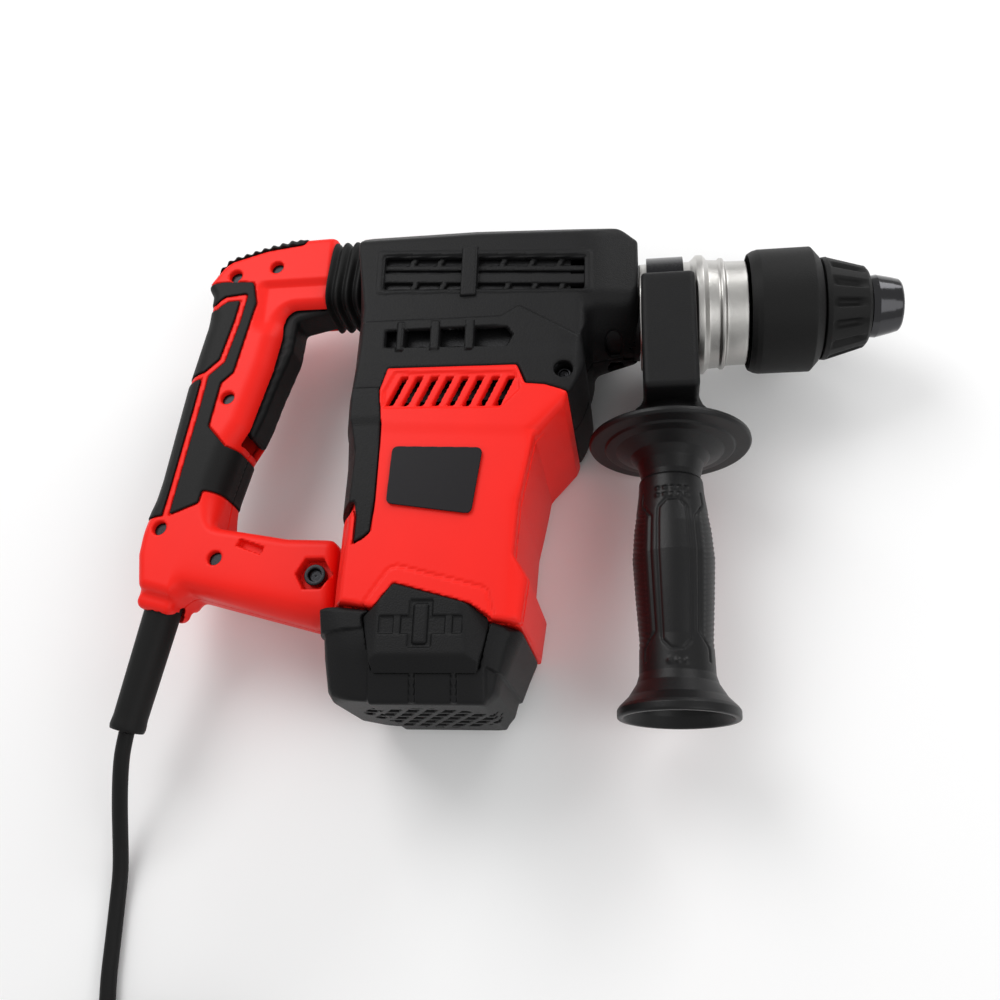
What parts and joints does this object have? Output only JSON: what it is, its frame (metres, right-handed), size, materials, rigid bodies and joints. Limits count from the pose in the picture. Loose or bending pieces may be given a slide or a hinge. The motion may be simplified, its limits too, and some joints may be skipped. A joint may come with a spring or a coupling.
{
  "type": "rotary demolition hammer",
  "caption": "Two-hand corded rotary demolition hammer with a sprung rear D-handle, a swivelling side handle and a pull-back locking sleeve.",
  "frame": {"origin": "centre of the tool bore at the nose", "axes": "+X along the barrel towards the nose, +Y up through the top of the tool, +Z to the right side; the tool lies on its left side"},
  "size_m": [0.3905, 0.511, 0.0904],
  "materials": {
    "red_plastic": "fine moulded texture, satin",
    "black_plastic": "coarse moulded texture, matt",
    "black_rubber": "matt rubber",
    "plate": "smooth film",
    "cast_alloy": "machined and bead-blasted",
    "steel": "ground steel",
    "laminations": "stacked sheet",
    "dark_chrome": "polished",
    "copper": "bare copper and enamelled wire",
    "carbon": "pressed carbon",
    "pin_metal": "nickel plate"
  },
  "bodies": {
    "housing": {"gear_cover_right": "black_plastic", "gear_cover_left": "black_plastic", "motor_housing": "red_plastic", "motor_cap": "black_plastic", "brush_cover_right": "black_plastic", "brush_cover_left": "black_plastic", "rear_bumper": "black_rubber", "rating_plate": "plate", "gearcase": "cast_alloy", "barrel_collar": "cast_alloy", "spindle_bearings": "steel", "spindle_seal": "black_rubber", "stator": "laminations", "field_coils": "copper", "brush_holders": "black_plastic", "carbon_brushes": "carbon", "brush_springs": "steel", "housing_screws": "steel", "shaft_bearings": "steel"},
    "rear_handle": {"handle_right": "red_plastic", "handle_left": "red_plastic", "grip_pad_right": "black_rubber", "grip_pad_left": "black_rubber", "switch_body": "black_plastic", "handle_screws": "steel", "pivot_bolt": "steel", "cable_clamp": "black_plastic", "strain_relief": "black_rubber", "bellows": "black_rubber", "damper_spring": "steel", "cord_lead": "black_rubber", "cord_coil": "black_rubber", "cord_tie": "black_plastic", "plug_body": "black_plastic", "plug_pins": "pin_metal"},
    "trigger": {"trigger": "black_plastic"},
    "selector": {"selector_knob": "black_plastic"},
    "yoke": {"handle_yoke": "black_plastic", "clamp_band": "black_plastic", "tee_bolt": "steel"},
    "side_grip": {"side_grip_core": "black_rubber", "side_grip_sleeve": "black_rubber"},
    "spindle": {"spindle_tube": "steel", "nose_ring": "dark_chrome", "guide_cone": "black_rubber", "bevel_wheel": "steel", "locking_balls": "steel"},
    "lock_sleeve": {"locking_sleeve": "black_rubber", "sleeve_spring": "steel"},
    "piston": {"piston": "steel", "wrist_pin": "steel"},
    "con_rod": {"con_rod": "steel"},
    "striker": {"striker": "steel"},
    "impact_bolt": {"impact_bolt": "steel"},
    "armature": {"armature_shaft": "steel", "armature_core": "laminations", "commutator": "copper", "fan": "black_plastic"},
    "crank": {"crank_gear": "steel"},
    "drive": {"drive_gear": "steel"}
  },
  "joints": [
    {"name": "handle_damping", "type": "hinge", "parent": "housing", "child": "rear_handle", "pos_m": [-0.2825, -0.1415, 0], "axis": [0, 0, 1], "range_deg": [-1.6, 0], "stiffness_Nm_per_rad": 900, "springref_deg": 0.29, "deforming": ["bellows", "damper_spring"]},
    {"name": "trigger_pull", "type": "hinge", "parent": "rear_handle", "child": "trigger", "pos_m": [-0.296, 0.011, 0], "axis": [0, 0, 1], "range_deg": [-6, 0], "stiffness_Nm_per_rad": 3, "springref_deg": 5.73},
    {"name": "mode_select", "type": "hinge", "parent": "housing", "child": "selector", "pos_m": [-0.177, 0.014, -0.043], "axis": [0, 0, 1], "range_deg": [-90, 90]},
    {"name": "side_handle_swing", "type": "hinge", "parent": "housing", "child": "yoke", "pos_m": [-0.115, 0, 0], "axis": [1, 0, 0], "range_deg": [-90, 90]},
    {"name": "side_grip_turn", "type": "hinge", "parent": "yoke", "child": "side_grip", "pos_m": [-0.115, -0.1, 0], "axis": [0, 1, 0], "continuous": true},
    {"name": "armature_spin", "type": "hinge", "parent": "housing", "child": "armature", "pos_m": [-0.229, -0.12, 0], "axis": [0, 1, 0], "continuous": true},
    {"name": "crank_spin", "type": "hinge", "parent": "housing", "child": "crank", "pos_m": [-0.205, -0.05, 0], "axis": [0, 1, 0], "continuous": true},
    {"name": "drive_spin", "type": "hinge", "parent": "housing", "child": "drive", "pos_m": [-0.1765, -0.05, 0], "axis": [0, 1, 0], "continuous": true},
    {"name": "spindle_spin", "type": "hinge", "parent": "housing", "child": "spindle", "pos_m": [-0.055, 0, 0], "axis": [1, 0, 0], "continuous": true},
    {"name": "sleeve_pull", "type": "slide", "parent": "spindle", "child": "lock_sleeve", "axis": [-1, 0, 0], "range_m": [0, 0.01], "stiffness_N_per_m": 800, "springref_m": -0.008},
    {"name": "piston_stroke", "type": "slide", "parent": "housing", "child": "piston", "axis": [1, 0, 0], "range_m": [-0.022, 0]},
    {"name": "rod_swing", "type": "hinge", "parent": "piston", "child": "con_rod", "pos_m": [-0.154, 0, 0], "axis": [0, 1, 0], "range_deg": [-12, 12]},
    {"name": "striker_slide", "type": "slide", "parent": "housing", "child": "striker", "axis": [1, 0, 0], "range_m": [0, 0.011]},
    {"name": "bolt_slide", "type": "slide", "parent": "housing", "child": "impact_bolt", "axis": [1, 0, 0], "range_m": [0, 0.006]}
  ],
  "couplings": [
    {"joint": "crank_spin", "follows": "armature_spin", "ratio": -0.33333},
    {"joint": "drive_spin", "follows": "armature_spin", "ratio": 0.57143},
    {"joint": "spindle_spin", "follows": "armature_spin", "ratio": 0.1978}
  ]
}
